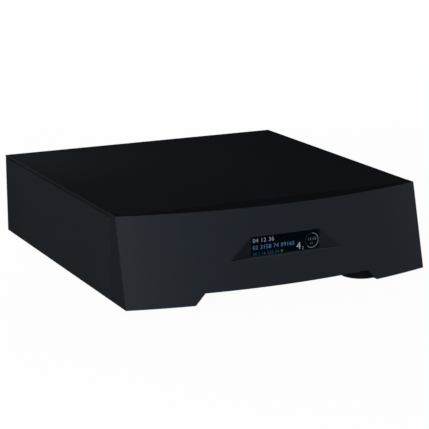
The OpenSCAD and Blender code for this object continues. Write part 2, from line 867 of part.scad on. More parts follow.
module transformer_bolt() {
    top = coil_z + coil_h + coil_pad_t + dish_t;
    color("silver") translate([coil_x, coil_y, bottom_z]) mirror([0, 0, 1])
        screw(top + 2 * nut_h * coil_bolt_r - bottom_z + over, coil_bolt_r);
    color("silver") translate([coil_x, coil_y, top]) nut(coil_bolt_r);
}

module supply_board() {
    color(board_green) circuit_board([supply_x - supply_w, supply_y - supply_d, board_z],
        [supply_x, supply_y, parts_z], supply_posts);
}

module supply_capacitors() {
    pitch = 2 * can_r + 4;
    first = [supply_x - 2 * can_r, supply_y - can_in];
    crown = 1;
    color("#1c2a44") for (i = [0 : 2]) for (j = [0, 1])
        translate([first.x - i * pitch, first.y - j * pitch, parts_z]) {
            cylinder(r = can_r, h = can_h - crown);
            cylinder(r = can_r - crown, h = can_h);
        }
}

module regulator_heatsink() {
    color("#1a1b1d") translate([sink_x, sink_y, parts_z]) rotate([90, 0, 0]) mirror([0, 0, 1])
        heatsink([sink_size.x, sink_size.z, sink_size.y], fin_base, 9);
}

module regulators() {
    color(dark_plastic) for (i = [0 : 3])
        translate([sink_x + (i + 0.5) * regulator_pitch - regulator.x / 2, sink_y - regulator.y, parts_z])
            cube(regulator);
}

module shield_wall() {
    notch = [6 * wire_pitch, notch_h];
    flange_end = 30;
    low_y = supply_y - supply_d;
    high_y = rear_in - play;
    color("#9a9ea2") difference() {
        union() {
            block([shield_x, low_y, floor_z], [shield_x + shield_t, high_y, floor_z + shield_h]);
            block([shield_x, low_y, floor_z],
                [shield_x + shield_flange, high_y - flange_end, floor_z + shield_t]);
        }
        block([shield_x - over, supply_y - notch_y - notch.x / 2, board_z],
            [shield_x + shield_t + over, supply_y - notch_y + notch.x / 2, board_z + notch.y]);
    }
}

// Where a wire at a distance from the transformer's middle along X ends at its front or rear side
function coil_side(dx, s) = coil_y + s * (sqrt(pow(coil_r, 2) - pow(max(abs(dx) - wire_r, 0), 2)) + play);

module mains_wiring() {
    loop = 6;
    for (s = [-1, 1]) {
        pin = pin_places[(s + 1) / 2];
        back = rear_out - inlet_body.y - tab_l;
        bend_y = back - loop * (1.5 - s / 2);
        tab_y = switch_back - tab_l;
        x = switch_x - s * tab_x;
        coil_end = coil_side(x - coil_x, 1);
        low = switch_z - tab_z;
        color("#5a3a22") wire([[pin.x, back, pin.y], [pin.x, bend_y, pin.y], [x, bend_y, switch_z + tab_z],
            [x, tab_y, switch_z + tab_z]]);
        color("#2a4a7a") wire([[x, tab_y, low], [x, tab_y - wire_lead, low],
            [x, (tab_y + coil_end) / 2, low - loop], [x, coil_end + wire_lead, low], [x, coil_end, low]]);
    }
}

// Leads from the transformer to the supply board, and on through the shield wall to the main board
module supply_wiring() {
    lie = parts_z + wire_r;
    end = 8;
    short = 6;
    first_x = main_x + lead_in;
    for (i = [0 : 3]) {
        dx = (i - 1.5) * 2 * wire_pitch;
        y = supply_y - notch_y + (i - 1.5) * wire_pitch;
        x = first_x + (3 - i) * wire_pitch;
        coil_end = coil_side(dx, -1);
        lead_x = coil_x + dx;
        color("#c8a838") wire([[lead_x, coil_end, lie + end], [lead_x, coil_end - wire_lead, lie + end],
            [lead_x, supply_y, lie], [lead_x, supply_y - short, lie]]);
        color(["#a03028", "#c8c8c4", "#2a4a7a", "#a03028"][i]) wire([[supply_x - end, y, lie], [x, y, lie],
            [x, main_y - main_d + end, lie]]);
    }
}

// Boards

module main_board() {
    color(board_green) circuit_board([main_x, main_y - main_d, board_z], [main_end, main_y, parts_z],
        main_posts);
}

module board_chips() {
    color(dark_plastic) {
        translate([processor.x, processor.y, parts_z]) cube([processor_w, processor_w, chip_h]);
        for (i = [0 : 3])
            translate([processor.x - 2 * small_chip, processor.y + i * (small_chip + chip_gap), parts_z])
                cube([small_chip, small_chip, chip_h]);
        for (i = [0, 1])
            translate([main_end - large_chip_in.x - i * large_chip_pitch, main_y - large_chip_in.y, parts_z])
                cube([large_chip, large_chip, chip_h]);
        for (i = [0 : 4])
            translate([main_end - cap_in.x - i * cap_pitch, main_y - main_d + cap_in.y, parts_z])
                cylinder(r = cap_r, h = cap_h);
    }
}

module processor_heatsink() {
    w = processor_w + 2 * sink_margin;
    color("#1a1b1d") translate([processor.x - sink_margin, processor.y - sink_margin, parts_z + chip_h])
        heatsink([w, w, sink_h], fin_base, 8);
}

module output_board() {
    low = parts_z + output_header.y;
    color(board_green) union() {
        block([phono_x - output_edge, output_y - board_t, low],
            [rail_x - output_edge / 2, output_y, floor_z + phono_z + phono_pitch + phono_ring_r]);
        translate([phono_x - output_edge / 2, output_y - board_t - output_header.y, parts_z])
            cube(output_header);
    }
}

module output_transformers() {
    color("#3a3d42") for (i = [0, 1])
        translate([main_end - output_coil_in.x - i * output_coil_pitch, output_y - output_coil_in.y, parts_z])
            cube(output_coil);
}

module board_posts() {
    color(gold) for (p = posts) translate([p.x, p.y, floor_z]) difference() {
        cylinder(r = post_r, h = post_h, $fn = 6);
        translate([0, 0, post_h - hole_depth]) cylinder(r = screw_r, h = hole_depth + over);
    }
}

module board_screws() {
    color("silver") for (p = posts) translate([p.x, p.y, parts_z]) screw(board_t + hole_depth - play);
}

// Rear sockets

// Outline of the inlet's recess, with two cut corners
module plug_outline() {
    polygon([[-plug_w / 2, -plug_h / 2], [plug_w / 2, -plug_h / 2], [plug_w / 2, plug_h / 2 - plug_cut],
        [plug_w / 2 - plug_cut, plug_h / 2], [plug_cut - plug_w / 2, plug_h / 2],
        [-plug_w / 2, plug_h / 2 - plug_cut]]);
}

module mains_inlet() {
    back = rear_out - inlet_body.y;
    color(dark_plastic) difference() {
        union() {
            flange(inlet_x, inlet_z, inlet_w, inlet_h, inlet_corner, inlet_t);
            block([inlet_x - inlet_body.x / 2, back, inlet_z - inlet_body.z / 2],
                [inlet_x + inlet_body.x / 2, rear_out + inlet_t / 2, inlet_z + inlet_body.z / 2]);
        }
        translate([inlet_x, rear_out + inlet_t + over, plug_z]) rotate([90, 0, 0])
            linear_extrude(plug_depth + over) plug_outline();
        block([inlet_x - drawer_w / 2, rear_out + inlet_t - drawer_l - play, drawer_z - drawer_h / 2],
            [inlet_x + drawer_w / 2, rear_out + inlet_t + over, drawer_z + drawer_h / 2]);
        for (p = pin_places) block([p.x - pin_w / 2, back - over, p.y - pin_h / 2],
            [p.x + pin_w / 2, rear_out, p.y + pin_h / 2]);
        for (s = [-1, 1])
            rearward(inlet_x + s * inlet_screw_x, rear_out - over, inlet_z, screw_r, inlet_t + 2 * over);
    }
}

module inlet_pins() {
    color("silver") for (p = pin_places)
        block([p.x - pin_w / 2, rear_out - inlet_body.y - tab_l, p.y - pin_h / 2],
            [p.x + pin_w / 2, rear_out + inlet_t - pin_set, p.y + pin_h / 2]);
}

module fuse_drawer() {
    w = drawer_w - play;
    h = drawer_h - play;
    front = rear_out + inlet_t;
    bed = front - drawer_l + fuse_back;
    grip = 5;
    color(dark_plastic) difference() {
        block([inlet_x - w / 2, front - drawer_l, drawer_z - h / 2],
            [inlet_x + w / 2, front + drawer_lip, drawer_z + h / 2]);
        block([inlet_x - fuse_l / 2 - fuse_play, bed, drawer_z - h / 2 + drawer_floor],
            [inlet_x + fuse_l / 2 + fuse_play, bed + 2 * (fuse_r + fuse_play), drawer_z + h / 2 + over]);
        block([inlet_x - grip, front - over, drawer_z + over],
            [inlet_x + grip, front + 2 * over, drawer_z + h]);
    }
}

module fuse() {
    y = rear_out + inlet_t - drawer_l + fuse_back + fuse_r + fuse_play;
    z = drawer_z - (drawer_h - play) / 2 + drawer_floor + fuse_r + fuse_play / 2;
    color("#c8ccd0") translate([inlet_x - fuse_l / 2, y, z]) rotate([0, 90, 0])
        cylinder(r = fuse_r, h = fuse_l);
}

module switch_frame() {
    color(dark_plastic) difference() {
        union() {
            flange(switch_x, switch_z, switch_w + 2 * switch_lip, switch_h + 2 * switch_lip,
                switch_corner, switch_t);
            block([switch_x - switch_w / 2, switch_back, switch_z - switch_h / 2],
                [switch_x + switch_w / 2, rear_out + over, switch_z + switch_h / 2]);
        }
        block([switch_x - rocker_w / 2 - play, switch_back + switch_wall, switch_z - rocker_sweep],
            [switch_x + rocker_w / 2 + play, rear_out + switch_t + over, switch_z + rocker_sweep]);
        translate([switch_x - switch_w, rocker_axis_y, switch_z]) rotate([0, 90, 0])
            cylinder(r = rocker_pin_r + run, h = 2 * switch_w);
    }
    color(copper) for (x = [-tab_x, tab_x]) for (z = [-tab_z, tab_z])
        block([switch_x + x - tab_w / 2, switch_back - tab_l, switch_z + z - tab_t / 2],
            [switch_x + x + tab_w / 2, switch_back + over, switch_z + z + tab_t / 2]);
}

// The rocker rests with its upper end pressed in
module power_rocker() {
    half = rocker_l / 2;
    toe = 4;
    side = 2;
    color("#101113") translate([switch_x, rocker_axis_y, switch_z]) rotate([rocker_tilt, 0, 0]) union() {
        rotate([90, 0, 90]) linear_extrude(rocker_w, center = true)
            polygon([[rocker_valley, 0], [rocker_end, half], [0, half - side], [-toe, side], [-toe, -side],
                [0, side - half], [rocker_end, -half]]);
        rotate([0, 90, 0]) cylinder(r = rocker_pin_r, h = switch_w - 2 * play, center = true);
    }
}

module xlr_sockets() {
    color("#1e2022") for (x = xlr_x) difference() {
        union() {
            flange(x, floor_z + xlr_z, xlr_w, xlr_h, xlr_corner, xlr_t);
            rearward(x, output_y, floor_z + xlr_z, xlr_r + xlr_wall, rear_out - output_y + over);
        }
        rearward(x, rear_out + xlr_t - xlr_cavity, floor_z + xlr_z, xlr_r, xlr_cavity + over);
        for (s = [-1, 1]) rearward(x + s * xlr_screw.x, rear_out - over, floor_z + xlr_z + s * xlr_screw.y,
            screw_r, xlr_t + 2 * over);
        for (a = xlr_pin_angles) rearward(x + xlr_pin_ring * cos(a), output_y - over,
            floor_z + xlr_z + xlr_pin_ring * sin(a), xlr_pin_r, rear_out - output_y);
    }
}

module xlr_pins() {
    color(gold) for (x = xlr_x) for (a = xlr_pin_angles)
        rearward(x + xlr_pin_ring * cos(a), output_y, floor_z + xlr_z + xlr_pin_ring * sin(a),
            xlr_pin_r - thread_play, rear_out + xlr_t - xlr_pin_set - output_y);
}

module phono_sockets() {
    for (i = [0, 1]) {
        z = floor_z + phono_z + i * phono_pitch;
        color(gold) difference() {
            union() {
                rearward(phono_x, rear_out, z, phono_r, phono_l);
                rearward(phono_x, rear_in - over, z, phono_bush_r, over + rear_t + phono_ring_t);
                rearward(phono_x, output_y, z, phono_ring_r, rear_in - output_y);
            }
            rearward(phono_x, rear_out + phono_l - phono_hole_l, z, phono_hole_r, phono_hole_l + over);
        }
    }
}

module phono_rings() {
    for (i = [0, 1]) color(["#b02a24", "#e4e4e0"][i])
        translate([phono_x, rear_out, floor_z + phono_z + i * phono_pitch]) rotate([-90, 0, 0]) difference() {
            cylinder(r = phono_ring_r, h = phono_ring_t);
            translate([0, 0, -over]) cylinder(r = phono_bush_r + thread_play, h = phono_ring_t + 2 * over);
        }
}

module bnc_socket() {
    color("#b8bcc0") difference() {
        union() {
            rearward(bnc_x, rear_in - over, bnc_z, bnc_r, rear_t + over + bnc_l);
            rearward(bnc_x, rear_out, bnc_z, bnc_hex_r, bnc_hex_t, $fn = 6);
            block([bnc_x - bnc_block.x / 2, rear_in - bnc_block.y, parts_z],
                [bnc_x + bnc_block.x / 2, rear_in, parts_z + bnc_block.z]);
            translate([bnc_x, rear_out + bnc_l - bnc_lug_in, bnc_z])
                cylinder(r = bnc_lug_r, h = 2 * (bnc_r + bnc_lug_r), center = true);
        }
        rearward(bnc_x, rear_out + bnc_floor, bnc_z, bnc_bore_r, bnc_l + over);
    }
    color("#e4e4e0") difference() {
        rearward(bnc_x, rear_out + bnc_floor / 2, bnc_z, bnc_core_r, bnc_l - 2 * bnc_floor);
        rearward(bnc_x, rear_out + 2 * bnc_floor, bnc_z, bnc_pin_r, bnc_l);
    }
}

module optical_socket() {
    low = [optical_x - optical.x / 2, rear_out + proud - optical.y, port_z];
    mid_z = port_z + optical.z / 2;
    color(dark_plastic) difference() {
        block(low, low + optical);
        block([optical_x - optical_hole / 2, rear_out - optical_depth, mid_z - optical_hole / 2],
            [optical_x + optical_hole / 2, rear_out + proud + over, mid_z + optical_hole / 2]);
        translate([optical_x, flap_y, flap_z]) rotate([0, 90, 0])
            cylinder(r = flap_pin_r + run, h = optical.x - 2, center = true);
    }
}

module optical_shutter() {
    w = optical_hole - play;
    h = optical_hole - 2 * flap_pin_r - play;
    color("#2c2e30") union() {
        translate([optical_x, flap_y, flap_z]) rotate([0, 90, 0])
            cylinder(r = flap_pin_r, h = optical.x - 2 - play, center = true);
        block([optical_x - w / 2, flap_y - flap_t / 2, flap_z - h],
            [optical_x + w / 2, flap_y + flap_t / 2, flap_z]);
    }
}

module network_ports() {
    plug = [11.8, 13, 8];
    plug_floor = 3;
    mouth = [12.5, 12, 5];
    mouth_floors = [1.8, 8.8];
    tongue = [11, 9, 1.9];
    tongue_up = 0.7;
    lan_low = [lan_x - lan.x / 2, rear_out + proud - lan.y, port_z];
    usb_low = [usb_x - usb.x / 2, rear_out + proud - usb.y, port_z];
    color("#b8bcc0") difference() {
        block(lan_low, lan_low + lan);
        translate([lan_x - plug.x / 2, rear_out + proud - plug.y, port_z + plug_floor])
            cube(plug + [0, over, 0]);
    }
    color("#b8bcc0") difference() {
        block(usb_low, usb_low + usb);
        for (z = mouth_floors) translate([usb_x, rear_out + proud - mouth.y, port_z + z]) difference() {
            translate([-mouth.x / 2, 0, 0]) cube(mouth + [0, over, 0]);
            translate([-tongue.x / 2, -over, tongue_up]) cube(tongue + [0, over, 0]);
        }
    }
}

module ground_post() {
    z = floor_z + stud_z;
    color("#c0c4c8") {
        rearward(stud_x, rear_in - stud_in, z, stud_r, stud_in + rear_t + stud_out);
        for (y = [rear_in - stud_nut_h, rear_out])
            rearward(stud_x, y, z, nut_r * stud_r, stud_nut_h, $fn = 6);
    }
}

module ground_knob() {
    flutes = 16;
    flute_r = 0.7;
    at = [stud_x, rear_out + stud_nut_h + play, floor_z + stud_z];
    color(gold) translate(at) rotate([-90, 0, 0]) difference() {
        cylinder(r = knob_r, h = knob_l);
        translate([0, 0, -over]) cylinder(r = stud_r + run, h = knob_l + 2 * over);
        for (i = [0 : flutes - 1]) rotate(i * 360 / flutes) translate([knob_r + flute_r / 2, 0, -over])
            cylinder(r = flute_r, h = knob_l + 2 * over);
    }
}

// Screws of the mains inlet and the XLR sockets
module socket_screws() {
    color("#1e2022") {
        for (s = [-1, 1]) translate([inlet_x + s * inlet_screw_x, rear_out + inlet_t, inlet_z])
            rotate([-90, 0, 0]) screw(inlet_t + rear_t + socket_screw_end);
        for (x = xlr_x) for (s = [-1, 1])
            translate([x + s * xlr_screw.x, rear_out + xlr_t, floor_z + xlr_z + s * xlr_screw.y])
                rotate([-90, 0, 0]) screw(xlr_t + rear_t + socket_screw_end);
    }
}

front_panel();
top_cover();
left_side_panel();
right_side_panel();
bottom_plate();
rear_panel();
joiner_bars();
case_screws();
rear_screws();
foot(feet[0]);  // foot_front_left
foot(feet[1]);  // foot_front_right
foot(feet[2]);  // foot_rear_left
foot(feet[3]);  // foot_rear_right
pad(feet[0]);  // pad_front_left
pad(feet[1]);  // pad_front_right
pad(feet[2]);  // pad_rear_left
pad(feet[3]);  // pad_rear_right
foot_screws();
display_window();
display_gasket();
display_glass();
display_board();
display_screws();
display_ribbon();
transformer();
transformer_pads();
transformer_dish();
transformer_bolt();
supply_board();
supply_capacitors();
regulators();
regulator_heatsink();
shield_wall();
main_board();
board_chips();
processor_heatsink();
output_board();
output_transformers();
board_posts();
board_screws();
mains_wiring();
supply_wiring();
mains_inlet();
inlet_pins();
fuse_drawer();
fuse();
switch_frame();
power_rocker();
xlr_sockets();
xlr_pins();
phono_sockets();
phono_rings();
bnc_socket();
optical_socket();
optical_shutter();
network_ports();
ground_post();
ground_knob();
socket_screws();
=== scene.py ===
import bmesh
import bpy
import json
import math
from mathutils import Matrix, Vector


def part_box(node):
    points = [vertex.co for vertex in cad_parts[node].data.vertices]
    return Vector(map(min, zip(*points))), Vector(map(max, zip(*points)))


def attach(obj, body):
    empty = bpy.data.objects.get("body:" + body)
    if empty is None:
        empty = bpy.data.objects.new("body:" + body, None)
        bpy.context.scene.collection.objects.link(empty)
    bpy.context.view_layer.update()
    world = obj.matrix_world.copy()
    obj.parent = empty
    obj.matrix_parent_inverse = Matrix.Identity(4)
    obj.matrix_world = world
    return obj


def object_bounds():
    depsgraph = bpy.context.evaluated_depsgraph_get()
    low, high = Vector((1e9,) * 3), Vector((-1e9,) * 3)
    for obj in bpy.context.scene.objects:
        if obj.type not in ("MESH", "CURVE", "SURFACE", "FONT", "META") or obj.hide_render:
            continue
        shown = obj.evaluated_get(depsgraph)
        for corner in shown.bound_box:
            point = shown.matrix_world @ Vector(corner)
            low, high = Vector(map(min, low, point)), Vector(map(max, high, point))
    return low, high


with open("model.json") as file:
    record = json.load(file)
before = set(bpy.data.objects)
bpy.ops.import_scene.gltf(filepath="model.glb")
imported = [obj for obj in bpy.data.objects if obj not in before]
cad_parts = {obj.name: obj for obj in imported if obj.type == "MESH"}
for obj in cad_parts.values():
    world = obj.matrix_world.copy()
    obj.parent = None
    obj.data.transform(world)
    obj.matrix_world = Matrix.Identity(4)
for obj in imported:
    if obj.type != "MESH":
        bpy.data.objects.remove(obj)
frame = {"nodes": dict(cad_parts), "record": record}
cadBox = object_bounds()
nodes = frame["nodes"]
mm = 0.001
print("frame loaded,", len(nodes), "nodes")


class Val:
    # a socket that takes part in plain arithmetic
    def __init__(self, finish, socket):
        self.finish = finish
        self.socket = socket

    def math(self, operation, *others):
        return self.finish.add("ShaderNodeMath", {"operation": operation}, dict(enumerate([self, *others])))

    def __add__(self, other):
        return self.math("ADD", other)

    def __sub__(self, other):
        return self.math("SUBTRACT", other)

    def __rsub__(self, other):
        return self.finish.add("ShaderNodeMath", {"operation": "SUBTRACT"}, {0: other, 1: self})

    def __mul__(self, other):
        return self.math("MULTIPLY", other)

    def __gt__(self, other):
        return self.math("GREATER_THAN", other)

    def __lt__(self, other):
        return self.math("LESS_THAN", other)

    def __or__(self, other):
        return self.math("MAXIMUM", other)

    def __abs__(self):
        return self.math("ABSOLUTE")

    __radd__ = __add__
    __rmul__ = __mul__
    __ror__ = __or__


class Finish:
    # one material, or the world, and the nodes that make it
    def __init__(self, name, owner=None):
        self.material = owner or bpy.data.materials.new(name)
        self.material.use_nodes = True
        self.tree = self.material.node_tree
        self.tree.nodes.clear()

    def add(self, kind, settings=None, sockets=None, out=0):
        node = self.tree.nodes.new(kind)
        for key, value in (settings or {}).items():
            if key == "stops":
                setStops(node.color_ramp, value)
            else:
                setattr(node, key, value)
        for key, value in (sockets or {}).items():
            if isinstance(value, Val):
                self.tree.links.new(value.socket, node.inputs[key])
            else:
                node.inputs[key].default_value = value
        return Val(self, node.outputs[out]) if node.outputs else None

    def parts(self, vector):
        return [self.add("ShaderNodeSeparateXYZ", None, {0: vector}, out=i) for i in range(3)]

    def place(self):
        return self.add("ShaderNodeTexCoord", out="Object")

    def axes(self):
        return self.parts(self.place())

    def facing(self):
        return self.parts(self.add("ShaderNodeNewGeometry", out="True Normal"))

    def noise(self, scale, detail=2.0, stretch=None):
        place = self.place()
        if stretch:
            place = self.add("ShaderNodeVectorMath", {"operation": "MULTIPLY"}, {0: place, 1: stretch})
        return self.add("ShaderNodeTexNoise", None, {"Vector": place, "Scale": scale, "Detail": detail})

    def ramp(self, value, low, high):
        return self.add("ShaderNodeValToRGB", {"stops": ((low, 0), (high, 1))}, {0: value})

    def mix(self, share, a, b):
        ends = {6: a if isinstance(a, Val) else (*a, 1), 7: b if isinstance(b, Val) else (*b, 1)}
        return self.add("ShaderNodeMix", {"data_type": "RGBA"}, {0: share, **ends}, out=2)

    def bump(self, height, distance):
        return self.add("ShaderNodeBump", None, {"Height": height, "Distance": distance, "Strength": 1.0})

    def surface(self, sockets):
        return self.close(self.add("ShaderNodeBsdfPrincipled", None, sockets))

    def close(self, shader, end="ShaderNodeOutputMaterial"):
        self.add(end, None, {"Surface": shader})
        return self.material


def setStops(ramp, stops):
    while len(ramp.elements) < len(stops):
        ramp.elements.new(1)
    for element, (place, grey) in zip(ramp.elements, stops):
        element.position = place
        element.color = (grey, grey, grey, 1)


def tone(colour, factor):
    return tuple(part * factor for part in colour)


def middle(node):
    low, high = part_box(node)
    return (low + high) / 2


# camera: level, at the photograph's angle, for a square picture
shot = {
    "place": (-0.74, -1.50164, 0.46703), "turn": -26.388, "up": 14.11,
    "focal": 1537.648, "frame": 429, "sensor": 36, "farthest": 50,
}


def addCamera():
    data = bpy.data.cameras.new("camera")
    data.sensor_width = shot["sensor"]
    data.lens = shot["focal"] / shot["frame"] * shot["sensor"]
    data.clip_end = shot["farthest"]
    camera = bpy.data.objects.new("camera", data)
    bpy.context.scene.collection.objects.link(camera)
    turn, up = math.radians(shot["turn"]), math.radians(shot["up"])
    back = Vector((math.sin(turn) * math.cos(up), -math.cos(turn) * math.cos(up), math.sin(up)))
    camera.location = shot["place"]
    camera.rotation_mode = "QUATERNION"
    camera.rotation_quaternion = (-back).to_track_quat("-Z", "Y")
    bpy.context.scene.camera = camera


addCamera()
print("camera set")


# studio: pale floor, soft lamps and a white surround
studio = {
    "floor": 12.0, "floorDrop": 0.05 * mm, "floorColour": (0.9, 0.9, 0.9), "shadowShare": 0.035,
    "ambient": 0.2,
    "lamps": {
        "keyLamp": {"place": (-1.3, -1.4, 0.42), "size": (1.2, 0.7), "power": 40},
        "rightLamp": {"place": (2.3, -0.5, 0.5), "size": (1.4, 0.8), "power": 3.2},
        "sideLamp": {"place": (2.4, 0.6, 0.5), "size": (1.4, 0.8), "power": 16},
        "rearLamp": {"place": (0.5, 2.5, 0.6), "size": (2.0, 0.9), "power": 50},
        "cornerLamp": {"place": (-0.19, 0.16, 0.24), "size": (0.15, 0.15), "power": 0.235},
    },
}


def seenDirectly(finish):
    # camera, mirror and glass rays see the surround as plain white
    share = finish.add("ShaderNodeLightPath", out="Is Camera Ray")
    for name in ("Is Glossy Ray", "Is Transmission Ray"):
        share = share | finish.add("ShaderNodeLightPath", out=name)
    return share


def addFloor():
    look = Finish("floor")
    lit = look.add("ShaderNodeBsdfDiffuse", None, {"Color": (*studio["floorColour"], 1)})
    white = look.add("ShaderNodeEmission", None, {"Color": (1, 1, 1, 1), "Strength": 1})
    share = seenDirectly(look) * (1 - studio["shadowShare"])
    top = look.add("ShaderNodeMixShader", None, {0: share, 1: lit, 2: white})
    below = look.add("ShaderNodeBsdfTransparent")
    under = look.add("ShaderNodeNewGeometry", out="Backfacing")
    look.close(look.add("ShaderNodeMixShader", None, {0: under, 1: top, 2: below}))
    half = studio["floor"] / 2
    corners = [(-half, -half, 0), (half, -half, 0), (half, half, 0), (-half, half, 0)]
    mesh = bpy.data.meshes.new("floor")
    mesh.from_pydata(corners, [], [(0, 1, 2, 3)])
    mesh.materials.append(look.material)
    floor = bpy.data.objects.new("floor", mesh)
    floor.location.z = -studio["floorDrop"]
    bpy.context.scene.collection.objects.link(floor)


def addLights():
    target = Vector((0, 0, cadBox[1].z / 2))
    for name, lamp in studio["lamps"].items():
        data = bpy.data.lights.new(name, "AREA")
        data.shape = "RECTANGLE"
        data.size, data.size_y = lamp["size"]
        data.energy = lamp["power"]
        light = bpy.data.objects.new(name, data)
        light.location = lamp["place"]
        light.rotation_mode = "QUATERNION"
        light.rotation_quaternion = (target - light.location).to_track_quat("-Z", "Y")
        light.visible_camera = False
        bpy.context.scene.collection.objects.link(light)


def addSurround():
    world = bpy.data.worlds.new("surround")
    bpy.context.scene.world = world
    sky = Finish("surround", world)
    dim = sky.add("ShaderNodeBackground", None, {"Color": (1, 1, 1, 1), "Strength": studio["ambient"]})
    bright = sky.add("ShaderNodeBackground", None, {"Color": (1, 1, 1, 1), "Strength": 1})
    both = sky.add("ShaderNodeMixShader", None, {0: seenDirectly(sky), 1: dim, 2: bright})
    sky.close(both, "ShaderNodeOutputWorld")
    bpy.context.scene.view_settings.view_transform = "Standard"


addFloor()
addLights()
addSurround()
print("studio set")


# blasted and black-anodised aluminium of the case, with painted light on its bevels and painted shade on its
# pieces
caseLook = {
    "colour": (0.0152, 0.0176, 0.0212), "rough": (0.46, 0.58), "gloss": 0,
    "grain": 5200, "grainEnds": (0.35, 0.68), "grainHeight": 0.006 * mm, "fleck": 0.3, "fleckTone": 1.45,
    "cloud": 7, "cloudEnds": (0.3, 0.7), "cloudDepth": 0.06,
    # painted shade on the front panel's land, recess facets and ends, and a painted highlight on the ledge
    # under the window
    "land": 0.4, "landAbove": 80 * mm, "ledge": 3.2, "paintedLeftFacetShade": 0.5, "paintedRightFacetShade": 0.62, "end": 0.68,
    # the bowed face has a faint sheen over a bluer tone
    "faceColour": (0.0120, 0.0178, 0.0262), "sheen": 0.2, "sheenRough": 0.5,
    # parts of a normal that tell a square face, an upright one, a bevel, an overhang and the leaning front
    "square": 0.9, "upright": 0.1, "slanted": 0.4, "overhang": -0.2, "forward": -0.8, "leaning": (0.15, 0.4),
    # painted shade: how light or dark each piece and its bevels are painted, standing in for the light that
    # falls on each
    "pieces": {
        "front_panel": (0.4, 0.45), "top_cover": (0.53, 0.85), "left_side_panel": (0.74, 0.52),
        "right_side_panel": (0.74, 0.52), "rear_panel": (0.8, 0.8), "bottom_plate": (0.7, 0.7),
    },
}


def caseFinish(node):
    look = Finish(node + "Anodised")
    share, paintedBevelLight = caseLook["pieces"][node]
    # painted shade: the piece's colour is scaled to stand in for how much light it gets
    colour = tone(caseLook["faceColour" if node == "front_panel" else "colour"], share)
    depth = caseLook["cloudDepth"]
    cloud = look.ramp(look.noise(caseLook["cloud"], 4), *caseLook["cloudEnds"])
    grain = look.noise(caseLook["grain"], 1)
    fleck = look.ramp(grain, *caseLook["grainEnds"])
    base = look.mix(cloud, tone(colour, 1 - depth), tone(colour, 1 + depth))
    base = look.mix(fleck * caseLook["fleck"], base, tone(colour, caseLook["fleckTone"]))
    nx, ny, nz = look.facing()
    sheen = 0
    if node == "front_panel":
        x, y, z = look.axes()
        square = caseLook["square"]
        up, high = nz > square, z > caseLook["landAbove"]
        facet = (abs(nz) < caseLook["upright"]) * (ny < -square)
        # painted shade darkens the land behind the bowed top edge, the recess's facets and the panel's ends;
        # the ledge under the window gets a painted highlight
        paintedLightMasks = {
            "land": up * high * (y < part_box("top_cover")[0].y), "ledge": up * (1 - high),
            "paintedLeftFacetShade": facet * (nx > 0), "paintedRightFacetShade": facet * (nx < 0), "end": abs(nx) > square,
        }
        for name, mask in paintedLightMasks.items():
            base = look.mix(mask, base, tone(caseLook["colour"], caseLook[name]))
        least, most = caseLook["leaning"]
        sheen = caseLook["sheen"] * (ny < caseLook["forward"]) * (nz > least) * (nz < most)
    # painted highlight: bevels that face up or sideways get a tone of their own, standing in for the light
    # their edges catch
    slanted = abs(nx * ny) | abs(nx * nz) | abs(ny * nz)
    bevel = (slanted > caseLook["slanted"]) * (nz > caseLook["overhang"])
    low, high = caseLook["rough"]
    return look.surface({
        "Base Color": look.mix(bevel, base, tone(caseLook["colour"], paintedBevelLight)),
        "Roughness": low + (high - low) * fleck,
        "Coat Weight": sheen, "Coat Roughness": caseLook["sheenRough"],
        "Specular IOR Level": caseLook["gloss"], "Normal": look.bump(grain, caseLook["grainHeight"]),
    })


# moulded plastics and rubber
mouldLook = {
    "spark": 2600, "sparkHeight": 0.012 * mm, "sparkRough": 0.06, "drift": 60, "driftTones": (0.8, 1.25),
}


def mouldFinish(name, colour, rough, gloss=0.1):
    look = Finish(name)
    spark = look.noise(mouldLook["spark"], 2)
    drift = look.noise(mouldLook["drift"], 3)
    dark, light = mouldLook["driftTones"]
    swing = mouldLook["sparkRough"]
    return look.surface({
        "Base Color": look.mix(drift, tone(colour, dark), tone(colour, light)),
        "Roughness": rough - swing + 2 * swing * spark,
        "Specular IOR Level": gloss, "Normal": look.bump(spark, mouldLook["sparkHeight"]),
    })


# plated and bare metals
metalLook = {
    "brush": 900, "stretch": (1, 1, 14), "brushHeight": 0.004 * mm, "brushRough": 0.14,
    "drift": 130, "driftTones": (0.86, 1.08), "driftRough": 0.05,
}


def metalParts(look, colour, rough):
    brush = look.noise(metalLook["brush"], 3, metalLook["stretch"])
    drift = look.noise(metalLook["drift"], 3)
    dark, light = metalLook["driftTones"]
    base = look.mix(drift, tone(colour, dark), tone(colour, light))
    roughness = rough + metalLook["brushRough"] * brush - metalLook["driftRough"] * drift
    return base, roughness, look.bump(brush, metalLook["brushHeight"])


def metalFinish(name, colour, rough):
    look = Finish(name)
    base, roughness, normal = metalParts(look, colour, rough)
    return look.surface({"Base Color": base, "Metallic": 1.0, "Roughness": roughness, "Normal": normal})


# green circuit boards with tracks and gold pads
boardLook = {
    "mask": (0.010, 0.060, 0.030), "track": (0.018, 0.095, 0.045), "pad": (0.55, 0.42, 0.18),
    "pitch": 210, "trackWidth": 0.06, "trackHeight": 0.03 * mm,
    "padPitch": 336, "padSize": 0.15, "padMetal": 0.8, "rough": 0.38, "padShine": 0.1,
}


